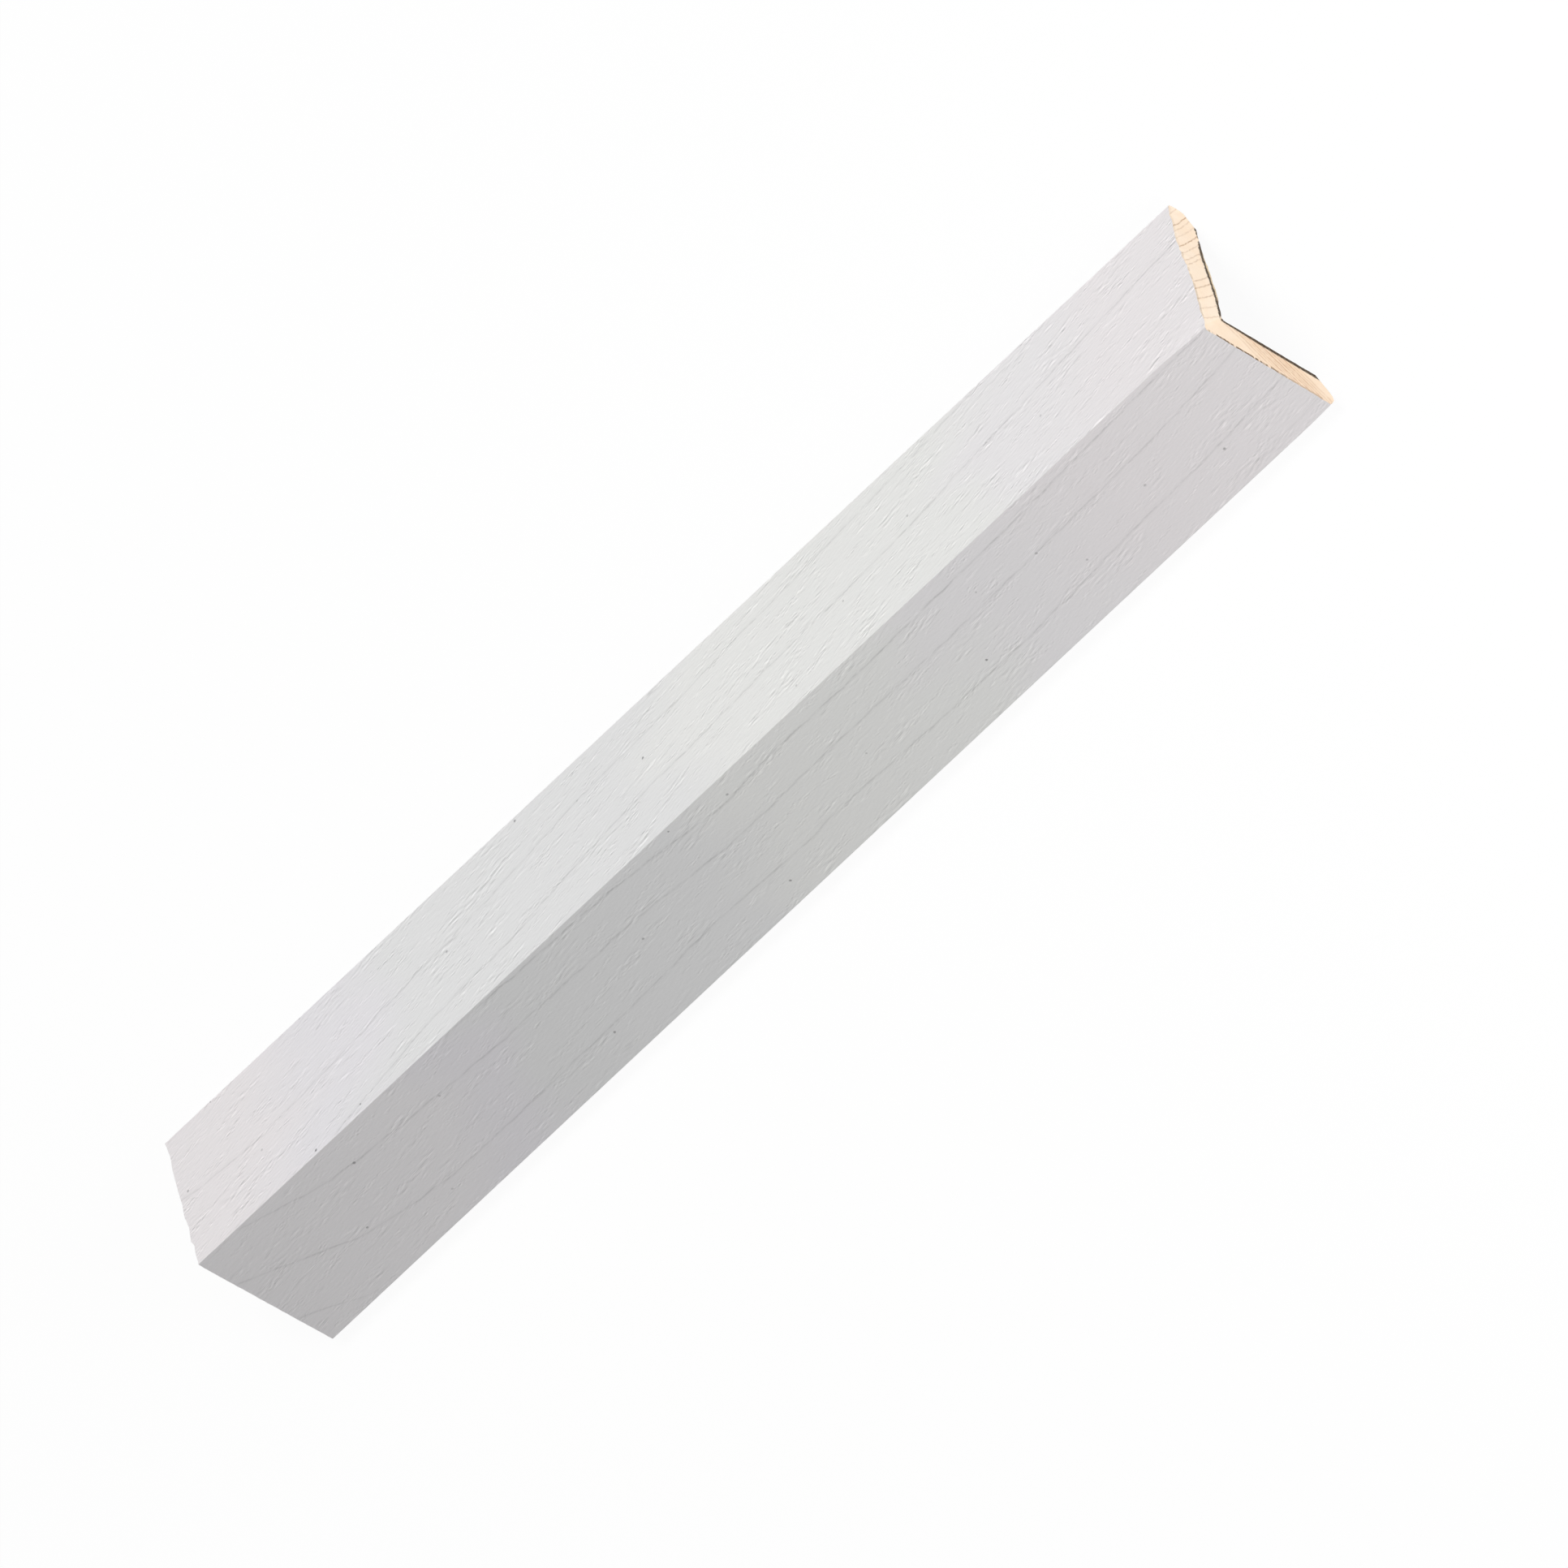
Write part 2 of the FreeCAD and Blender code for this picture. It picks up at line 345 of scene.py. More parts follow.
def buildMoulding():
    rng = np.random.default_rng(moulding["seed"])
    skin = Skin()
    fineShare = np.linspace(0, 1, moulding["columns"])
    coarseShare = np.linspace(0, 1, moulding["backColumns"])
    cornerTurn = np.linspace(0, math.pi / 2, moulding["arcSteps"] + 1)
    leftTurn = np.linspace(moulding["tipTurnLeft"], math.pi / 2, moulding["arcSteps"] + 1)
    rightTurn = np.linspace(math.pi / 2, moulding["tipTurnRight"], moulding["arcSteps"] + 1)

    rightRows, rightSink, rightMark = outerFace("right", rng)
    leftRows, leftSink, leftMark = outerFace("left", rng)
    print("outer faces worked out,", rightRows.size + leftRows.size, "points")

    # painted runs, from the left tip over the outer corner to the right tip
    painted = []
    for t in leftTurn[:-1]:
        painted.append(skin.add(placed(easing * (1 - math.sin(t)),
                                       legWidth - easing * (1 - math.cos(t)), fineShare)))
    for row in reversed(range(moulding["faceRows"])):
        painted.append(skin.add(placed(leftSink[:, row], leftRows[:, row], fineShare),
                                leftMark[:, row]))
    for t in cornerTurn[1:-1]:
        painted.append(skin.add(placed(cornerDrop + cornerRadius * (1 - math.cos(t)),
                                       cornerDrop + cornerRadius * (1 - math.sin(t)), fineShare)))
    for row in range(moulding["faceRows"]):
        painted.append(skin.add(placed(rightRows[:, row], rightSink[:, row], fineShare),
                                rightMark[:, row]))
    for t in rightTurn[1:]:
        painted.append(skin.add(placed(legWidth - easing * (1 - math.cos(t)),
                                       easing * (1 - math.sin(t)), fineShare)))
    for a, b in zip(painted[:-1], painted[1:]):
        skin.join(a, b, paintSlot)

    # the edges and bevels of both tips
    depths = [d * mm for d in moulding["depths"]]
    noseRight, noseLeft = moulding["noseRight"], moulding["noseLeft"]
    rightTip = [skin.add(placed(tipReach(d, noseRight), d, coarseShare)) for d in depths]
    leftTip = [skin.add(placed(d, tipReach(d, noseLeft), coarseShare)) for d in depths]
    for tip, first in ((rightTip, painted[-1]), (leftTip, painted[0])):
        skin.join(first, tip[0], paintSlot)
        for k in range(len(depths) - 1):
            finish = paintSlot if depths[k + 1] <= edgeDepth + tiny else pineSlot
            skin.join(tip[k], tip[k + 1], finish)

    # the back of both legs, a little uneven; its dark brown finish is painted shade
    # of the inside of the angle
    backWays = np.linspace(tipReach(wall), wall, moulding["backRows"])[1:]
    rightBack, leftBack = [rightTip[-1]], [leftTip[-1]]
    for way in backWays[:-1]:
        rough = moulding["backRoughness"] * rng.random((2, moulding["backColumns"]))
        rightBack.append(skin.add(placed(way, wall - moulding["rightBackExtra"] * rough[0], coarseShare)))
        leftBack.append(skin.add(placed(wall - rough[1], way, coarseShare)))
    root = skin.add(placed(wall, wall, coarseShare))
    for back in (rightBack, leftBack):
        back.append(root)
        for a, b in zip(back[:-1], back[1:]):
            skin.join(a, b, backSlot)

    # both cut ends, in runs that follow the legs from the painted face to the back
    for end, column, share in (("far", 0, 0.0), ("near", -1, 1.0)):
        runs = [[run[column] for run in painted]]
        for k, depth in enumerate(depths[:-1]):
            leftWays = np.linspace(depth, tipReach(depth, noseLeft), moulding["endPoints"][k])[:-1]
            rightWays = np.linspace(depth, tipReach(depth, noseRight), moulding["endPoints"][k])[1:-1]
            leftSpots = placed(depth, leftWays[::-1], share)
            rightSpots = placed(rightWays, depth, share)
            spots = np.concatenate([leftSpots, rightSpots])
            spots[:, 0] += moulding["endRoughness"] * (1 if end == "far" else -1) * rng.random(len(spots))
            inner = skin.add(spots)
            runs.append([leftTip[k][column], *inner, rightTip[k][column]])
        runs.append([run[column] for run in leftBack] + [run[column] for run in rightBack[-2::-1]])
        for a, b in zip(runs[:-1], runs[1:]):
            skin.join(a, b, pineSlot, runShares(skin, a), runShares(skin, b))
    return skin


# Offset of every point from the speck next to it, so that the paint can draw it round and sharp.
def speckOffsets(spots):
    toCorner = crestHeight - spots[:, 2]
    u = (toCorner + spots[:, 1]) * diagonal
    v = (toCorner - spots[:, 1]) * diagonal
    offsets = np.zeros((len(spots), 3))
    for side, across, depth in (("right", u, v), ("left", v, u)):
        outer = depth < specks["skinDepth"]
        for farWay, cornerWay, size, darkness in specks[side]:
            dx = spots[:, 0] - nodeLow.x - farWay * mm
            dw = across - cornerWay * mm
            near = outer & (np.hypot(dx, dw) < specks["reach"])
            offsets[near, 0] = dx[near] / (0.5 * size * mm)
            offsets[near, 1] = dw[near] / (0.5 * size * mm)
            offsets[near, 2] = 1.0 + darkness
    return offsets


skin = buildMoulding()
mesh = bpy.data.meshes.new("mouldingLength")
mesh.from_pydata(skin.points, [], skin.faces)
mesh.polygons.foreach_set("material_index", np.array(skin.finish, dtype=np.int32))
work = bmesh.new()
work.from_mesh(mesh)
bmesh.ops.recalc_face_normals(work, faces=work.faces[:])
openEdges = sum(1 for edge in work.edges if not edge.is_manifold)
work.to_mesh(mesh)
work.free()
mesh.attributes.new("growthLine", "FLOAT", "POINT").data.foreach_set("value", np.array(skin.mark))
speckSpots = mesh.attributes.new("speckOffset", "FLOAT_VECTOR", "POINT")
speckSpots.data.foreach_set("vector", speckOffsets(np.array(skin.points)).ravel())
mesh.polygons.foreach_set("use_smooth", np.ones(len(mesh.polygons), dtype=bool))
mesh.set_sharp_from_angle(angle=moulding["sharpAngle"])
mouldingLength = bpy.data.objects.new("moulding_length", mesh)
scene.collection.objects.link(mouldingLength)
triangles = sum(len(face) - 2 for face in skin.faces)
print("moulding built,", triangles, "triangles,", openEdges, "open edges")


def srgb(red, green, blue):
    def linear(part):
        part = part / 255
        return part / 12.92 if part <= 0.04045 else ((part + 0.055) / 1.055) ** 2.4
    return (linear(red), linear(green), linear(blue), 1.0)


def feed(tree, socket, value):
    if isinstance(value, bpy.types.NodeSocket):
        tree.links.new(value, socket)
    else:
        socket.default_value = value


def put(tree, kind, wired=None, **settings):
    made = tree.nodes.new(kind)
    for name, value in settings.items():
        setattr(made, name, value)
    for key, value in (wired or {}).items():
        feed(tree, made.inputs[key], value)
    return made


def calc(tree, operation, a, b=0.0, c=0.0):
    made = put(tree, "ShaderNodeMath", {0: a, 1: b, 2: c}, operation=operation)
    return made.outputs[0]


def spread(tree, value, low, high, toLow=0.0, toHigh=1.0):
    made = put(tree, "ShaderNodeMapRange", {"Value": value, "From Min": low, "From Max": high,
                                            "To Min": toLow, "To Max": toHigh},
               interpolation_type="SMOOTHSTEP")
    return made.outputs["Result"]


def vector(tree, x, y, z=0.0):
    return put(tree, "ShaderNodeCombineXYZ", {0: x, 1: y, 2: z}).outputs[0]


def noise(tree, place, scale, detail=2.0, roughness=0.5):
    made = put(tree, "ShaderNodeTexNoise", {"Vector": place, "Scale": scale, "Detail": detail,
                                            "Roughness": roughness})
    return made.outputs["Fac"]


# The same noise around zero.
def swing(tree, place, scale, detail=2.0, roughness=0.5):
    return calc(tree, "SUBTRACT", noise(tree, place, scale, detail, roughness), 0.5)


def times(tree, value, *others):
    for other in others:
        value = calc(tree, "MULTIPLY", value, other)
    return value


def stretched(tree, along, across, stretch, layer=0.0):
    return vector(tree, times(tree, along, stretch[0]), times(tree, across, stretch[1]), layer)


# A value that differs between the two legs.
def byLeg(tree, onRight, right, left):
    return calc(tree, "MULTIPLY_ADD", onRight, right - left, left)


def mixed(tree, factor, a, b, blend="MIX"):
    made = put(tree, "ShaderNodeMix", {0: factor, 6: a, 7: b}, data_type="RGBA", blend_type=blend)
    return made.outputs[2]


def newGroup(name, inputs, outputs):
    tree = bpy.data.node_groups.new(name, "ShaderNodeTree")
    for label, value in inputs:
        socket = tree.interface.new_socket(label, in_out="INPUT", socket_type="NodeSocketFloat")
        socket.default_value = value
    for label in outputs:
        tree.interface.new_socket(label, in_out="OUTPUT", socket_type="NodeSocketFloat")
    return tree, put(tree, "NodeGroupInput"), put(tree, "NodeGroupOutput")


# Where a surface point lies in the section, worked out from its own place, all in mm.
def sectionPlacesGroup():
    outputs = ["Along", "Right Way", "Left Way", "Across", "Depth", "On Right"]
    tree, _, result = newGroup("section places", [], outputs)
    place = put(tree, "ShaderNodeTexCoord").outputs["Object"]
    parts = put(tree, "ShaderNodeSeparateXYZ", {0: place})
    inMm = 1.0 / mm
    slope = inMm * diagonal
    along = times(tree, parts.outputs[0], inMm)
    side = times(tree, parts.outputs[1], slope)
    down = calc(tree, "MULTIPLY_ADD", parts.outputs[2], -slope, crestHeight * slope)
    rightWay = calc(tree, "ADD", down, side)
    leftWay = calc(tree, "SUBTRACT", down, side)
    values = [along, rightWay, leftWay, calc(tree, "MAXIMUM", rightWay, leftWay),
              calc(tree, "MINIMUM", rightWay, leftWay), calc(tree, "GREATER_THAN", side, 0.0)]
    for label, value in zip(outputs, values):
        feed(tree, result.inputs[label], value)
    return tree


poreLook = {
    "seedShift": 37.0,              # how far apart two seeds lie along the grain, and in depth
    "seedLayer": 7.3,
    "slopeStretch": (0.03, 0.1),    # along and across: how soon the pores change direction
    "wobbleStretch": (0.45, 0.8),
    "paleFrom": (0.54, 0.72),       # where the noise begins to be a pale streak, and is fully one
    "darkFrom": (0.46, 0.28),
    "clusterStretch": 0.25,
    "clusterEdge": (0.49, 0.7),
    "betweenClusters": 0.12,        # share of the pores that is left there
}


# Fine pale and dark streaks side by side, in clusters, where open pores show through paint. Put into a
# colour, the pale streaks are painted highlight and the dark ones painted shade of the pores' relief.
# The tone is above zero on a pale streak and below it on a dark one, and each streak has fainter ones
# of the other kind on both its sides.
def poreStreaksGroup():
    inputs = [("Along", 0.0), ("Across", 0.0), ("Slant", 0.1), ("Drift", 2.0), ("Wobble", 0.08),
              ("Streak Length", 4.0), ("Streak Width", 0.4), ("Streak Gap", 0.55), ("Echo", -0.4),
              ("Cluster Width", 3.0), ("Seed", 0.0)]
    tree, given, result = newGroup("pore streaks", inputs, ["Tone"])
    across, seed = given.outputs["Across"], given.outputs["Seed"]
    along = calc(tree, "MULTIPLY_ADD", seed, poreLook["seedShift"], given.outputs["Along"])
    layer = times(tree, seed, poreLook["seedLayer"])
    slope = swing(tree, stretched(tree, along, across, poreLook["slopeStretch"]), 1.0)
    leaning = times(tree, given.outputs["Along"], given.outputs["Slant"])
    level = calc(tree, "SUBTRACT", across, leaning)
    level = calc(tree, "MULTIPLY_ADD", slope, given.outputs["Drift"], level)
    wobble = swing(tree, stretched(tree, along, across, poreLook["wobbleStretch"]), 1.0, 1.0)
    level = calc(tree, "MULTIPLY_ADD", wobble, given.outputs["Wobble"], level)
    streakAlong = calc(tree, "DIVIDE", along, given.outputs["Streak Length"])
    tone = 0.0
    for side in (0.0, -1.0, 1.0):
        beside = calc(tree, "MULTIPLY_ADD", given.outputs["Streak Gap"], side, level)
        streakAcross = calc(tree, "DIVIDE", beside, given.outputs["Streak Width"])
        streak = noise(tree, vector(tree, streakAlong, streakAcross, layer), 1.0, 1.0)
        pale = spread(tree, streak, *poreLook["paleFrom"])
        dark = spread(tree, streak, *poreLook["darkFrom"])
        signed = calc(tree, "SUBTRACT", pale, dark)
        tone = calc(tree, "MULTIPLY_ADD", signed, given.outputs["Echo"] if side else 1.0, tone)
    clusterPlace = vector(tree, times(tree, along, poreLook["clusterStretch"]), level, layer)
    clusterScale = calc(tree, "DIVIDE", 1.0, given.outputs["Cluster Width"])
    clusterNoise = noise(tree, clusterPlace, clusterScale, 1.5)
    cluster = spread(tree, clusterNoise, *poreLook["clusterEdge"], poreLook["betweenClusters"])
    feed(tree, result.inputs["Tone"], times(tree, tone, cluster))
    return tree


sectionPlaces = sectionPlacesGroup()
poreStreaks = poreStreaksGroup()
faceSpacing = 60.0      # mm, keeps the patterns of the two legs apart


def newMaterial(name):
    material = bpy.data.materials.new(name)
    material.use_nodes = True
    tree = material.node_tree
    tree.nodes.clear()
    surface = put(tree, "ShaderNodeBsdfPrincipled")
    put(tree, "ShaderNodeOutputMaterial", {"Surface": surface.outputs[0]})
    return material, tree, surface


def addRelief(tree, surface, height, distance):
    bump = put(tree, "ShaderNodeBump", {"Height": height, "Distance": distance, "Strength": 1.0})
    feed(tree, surface.inputs["Normal"], bump.outputs[0])


def useGroup(tree, group, **values):
    made = put(tree, "ShaderNodeGroup", node_tree=group)
    for label, value in values.items():
        feed(tree, made.inputs[label], value)
    return made


whitePaint = {
    # the whites that the paint drifts through, and where each sits on a leg, mm from the far end;
    # the darker plain white along the middle of the right leg is also painted shade, a dip in the light
    # there
    "pinkWhite": srgb(230, 226, 227),
    "lilacWhite": srgb(226, 224, 227),
    "plainWhite": srgb(224, 224, 224),
    "sageWhite": srgb(229, 229, 227),
    "roseWhite": srgb(229, 227, 228),
    "rightWhites": [("pinkWhite", 12), ("lilacWhite", 34), ("plainWhite", 52), ("plainWhite", 104),
                    ("sageWhite", 124), ("sageWhite", 175), ("roseWhite", 192), ("pinkWhite", 214)],
    "leftWhites": [("roseWhite", 36), ("lilacWhite", 52), ("plainWhite", 66), ("plainWhite", 104),
                   ("sageWhite", 122), ("sageWhite", 150), ("roseWhite", 168), ("pinkWhite", 204)],
    "patchShift": 0.14,         # how unevenly one white passes into the next
    "patchStretch": (0.03, 0.06),
    "patchLayer": 3.1,
    "speckGrey": srgb(88, 86, 88),
    "speckRagged": 0.9,
    "speckRaggedScale": 3.0,
    "speckEdge": (1.35, 0.35),  # where a speck ends and where it is full, in half sizes
    "speckSink": 0.5,           # against the depth of a pore
    "lineContrast": 0.23,       # share of the colour a growth line takes: its grey and painted groove shade
    # pore streaks add painted highlight and painted shade of their relief to the colour, by these shares
    "poreContrastRight": 0.245,
    "poreContrastLeft": 0.155,
    "lineStretch": (0.9, 2.4),  # a line crumbles at this pace, from faint to strong
    "crumbleEdge": (0.3, 0.6),
    "lineCrumble": (0.35, 1.15),
    "mottle": 0.09,
    "skinStretch": (2.4, 3.4),
    "skinRelief": 0.1,
    "longPores": {"Streak Length": 2.2, "Streak Width": 0.23, "Streak Gap": 0.46, "Cluster Width": 2.2},
    "shortPores": {"Streak Length": 1.0, "Streak Width": 0.16, "Streak Gap": 0.3, "Cluster Width": 1.6},
    "poreDepth": 0.02 * mm,
    "leftPoreShare": 0.4,       # pores of the left leg are shallower
    "slantRight": 0.17,         # pores lean towards the tip on the right leg
    "slantLeft": -0.12,         # and towards the corner on the left one
    "roughness": (0.42, 0.56),
    "gloss": 0.35,
}


# One of the paint's whites after another along a leg.
def whitesAlong(tree, share, whites):
    made = put(tree, "ShaderNodeValToRGB", {0: share})
    made.color_ramp.interpolation = "EASE"
    elements = made.color_ramp.elements
    elements.remove(elements[1])
    for number, (name, place) in enumerate(whites):
        position = place * mm / moulding["length"]
        stop = elements.new(position) if number else elements[0]
        stop.position = position
        stop.color = whitePaint[name]
    return made.outputs[0]


def makeWhitePaint():
    material, tree, surface = newMaterial("whiteGrainPaint")
    surface.inputs["Specular IOR Level"].default_value = whitePaint["gloss"]
    places = useGroup(tree, sectionPlaces)
    along, across, onRight = (places.outputs[name] for name in ("Along", "Across", "On Right"))
    facePlace = calc(tree, "MULTIPLY_ADD", onRight, faceSpacing, across)

    patchPlace = stretched(tree, along, facePlace, whitePaint["patchStretch"], whitePaint["patchLayer"])
    patch = swing(tree, patchPlace, 1.0, 1.0)
    share = calc(tree, "MULTIPLY_ADD", along, mm / moulding["length"], 0.5)
    share = calc(tree, "MULTIPLY_ADD", patch, whitePaint["patchShift"], share)
    colour = mixed(tree, onRight, whitesAlong(tree, share, whitePaint["leftWhites"]),
                   whitesAlong(tree, share, whitePaint["rightWhites"]))

    # growth lines darken the colour with their own grey and with painted shade of their grooves,
    # and pore streaks add painted highlight and painted shade
    crumble = noise(tree, stretched(tree, along, facePlace, whitePaint["lineStretch"]), 1.0)
    crumble = spread(tree, crumble, *whitePaint["crumbleEdge"], *whitePaint["lineCrumble"])
    line = put(tree, "ShaderNodeAttribute", attribute_name="growthLine").outputs["Fac"]
    line = times(tree, line, crumble)
    slant = byLeg(tree, onRight, whitePaint["slantRight"], whitePaint["slantLeft"])
    tone = 0.0
    for seed, pores in ((1.0, whitePaint["longPores"]), (2.0, whitePaint["shortPores"])):
        streaks = useGroup(tree, poreStreaks, Along=along, Across=facePlace, Slant=slant, Seed=seed, **pores)
        tone = calc(tree, "ADD", tone, streaks.outputs[0])
    skinGrain = noise(tree, stretched(tree, along, facePlace, whitePaint["skinStretch"]), 1.0, 3.0)
    gain = calc(tree, "MULTIPLY_ADD", line, -whitePaint["lineContrast"], 1.0 - whitePaint["mottle"] / 2)
    contrast = byLeg(tree, onRight, whitePaint["poreContrastRight"], whitePaint["poreContrastLeft"])
    gain = calc(tree, "MULTIPLY_ADD", tone, contrast, gain)
    gain = calc(tree, "MULTIPLY_ADD", skinGrain, whitePaint["mottle"], gain)
    colour = put(tree, "ShaderNodeVectorMath", {0: colour, "Scale": gain}, operation="SCALE").outputs[0]

    # specks of dirt, round but a little ragged
    offset = put(tree, "ShaderNodeAttribute", attribute_name="speckOffset").outputs["Vector"]
    parts = put(tree, "ShaderNodeSeparateXYZ", {0: offset})
    alongOff, acrossOff = parts.outputs[0], parts.outputs[1]
    squares = calc(tree, "ADD", times(tree, alongOff, alongOff), times(tree, acrossOff, acrossOff))
    ragged = swing(tree, vector(tree, along, facePlace), whitePaint["speckRaggedScale"], 1.0)
    ring = calc(tree, "MULTIPLY_ADD", ragged, whitePaint["speckRagged"], calc(tree, "SQRT", squares))
    darkness = calc(tree, "MAXIMUM", calc(tree, "SUBTRACT", parts.outputs[2], 1.0), 0.0)
    speck = times(tree, spread(tree, ring, *whitePaint["speckEdge"]), darkness)
    feed(tree, surface.inputs["Base Color"], mixed(tree, speck, colour, whitePaint["speckGrey"]))

    feed(tree, surface.inputs["Roughness"], spread(tree, skinGrain, 0.25, 0.75, *whitePaint["roughness"]))
    poreShare = byLeg(tree, onRight, 1.0, whitePaint["leftPoreShare"])
    height = calc(tree, "MULTIPLY_ADD", skinGrain, whitePaint["skinRelief"], times(tree, tone, poreShare))
    height = calc(tree, "MULTIPLY_ADD", speck, -whitePaint["speckSink"], height)
    addRelief(tree, surface, height, whitePaint["poreDepth"])
    return material


cutPine = {
    "pale": srgb(246, 230, 211),
    "warm": srgb(243, 221, 195),
    "fibreShade": srgb(176, 136, 104),
    "fibreShare": 0.16,
    "fibreStretch": 0.15,           # along the grain, against across it
    "fibreScale": 5.0,
    "cloudScale": 0.35,             # warmer clouds in the wood, and how far they go
    "cloudRange": (0.45, 1.0),
    "rightPaler": 0.45,             # the right leg is paler by this share
    "roughness": (0.66, 0.84),
    "relief": 0.03 * mm,
    "gloss": 0.12,
    # growth rings: where each meets the painted face of the right leg, mm, and how strong it is
    "rightRings": [(1.4, 0.4), (3.7, 0.35), (6.0, 0.6), (8.4, 0.7), (10.0, 0.6), (14.3, 0.5),
                   (15.4, 0.55), (17.2, 0.5), (18.9, 0.95), (21.0, 0.3), (22.6, 0.4), (23.8, 0.9),
                   (26.7, 0.4)],
    "rightLean": (0.72, 0.014),     # a ring leans towards the tip, and more so near it
    "rightRingWidth": 0.13,
    "rightRing": srgb(176, 136, 100),
    # on the left leg the rings run at a flat slant out to its painted face
    "leftRings": [(9.0, 0.35), (10.2, 0.55), (11.2, 0.45), (12.1, 0.7), (13.0, 0.5), (13.8, 0.8),
                  (14.9, 0.75), (15.7, 0.5), (16.6, 0.7), (17.6, 0.45), (18.6, 0.4)],
    "leftLean": 0.62,
    "leftRingWidth": 0.28,
    "leftRing": srgb(194, 150, 112),
    "ringShare": 0.85,
    "ringSoftness": 2.2,            # a ring fades out over this many widths
    "ringRunOn": 0.03,              # how slowly a ring changes along the grain
    "bendScale": 0.22,              # a ring strays from its line in long bends and fine ones
    "fineScale": 0.9,
    "stray": 0.5,
    "brokenScale": 1.1,
    "brokenRange": (0.4, 1.0),
    "rim": srgb(106, 82, 62),       # broken brown line between paint and wood
    "rimEdge": (0.62, 0.34),        # depth where it has gone and where it is full, mm
    "rimStart": (1.2, 2.4),         # it starts beside the outer corner and fades towards the tip, mm
    "rimFade": (22.0, 13.0),
    "rimTail": 0.35,
    "dashScale": 1.05,
    "dashEdge": (0.41, 0.52),
    "raggedScale": 2.6,
    "rimRagged": 0.5,
    "rimRight": 0.3,                # how strong it is on each leg
    "rimLeft": 0.95,
    "backShade": srgb(47, 33, 21),       # painted shade of the inside, a dark band at the back of the cut, this wide, mm
    "backShadeRight": 0.72,
    "backShadeLeft": 0.80,
    "backShadeThinRight": 0.5,           # share of the band that is left where it thins out, and where, mm
    "backShadeThinsRight": (23.6, 20.5),
    "backShadeThinLeft": 0.7,
    "backShadeThinsLeft": (6.0, 15.0),
    "backShadeGap": 23.9,                # the band breaks off here on the right leg
    "backShadeGapEdge": (0.15, 0.45),
    "backShadeUnevenRight": 0.8,
    "backShadeUnevenLeft": 0.35,
    "backShadeEdge": (-0.12, 0.14),
    "backShadeFibres": (0.8, 0.98),
    "rootEdge": (0.12, 0.45),       # it is thin in the inner corner
    "rootShare": 0.3,
    "fringe": srgb(206, 188, 158),  # torn pale fibres behind the shade band of the right leg
    "fringeStart": (8.0, 11.0),
    "fringeEnd": (22.0, 19.0),
    "fringeEdge": (0.2, 0.06),
    "fringeUneven": 0.8,
}


# The darkest of a row of lines that stand at given places along one value.
def ringLines(tree, way, rings, width):
    mask = 0.0
    reach = cutPine["ringSoftness"] * width
    for place, strength in rings:
        away = calc(tree, "ABSOLUTE", calc(tree, "SUBTRACT", way, place))
        mask = calc(tree, "MAXIMUM", mask, spread(tree, away, reach, 0.0, 0.0, strength))
    return mask


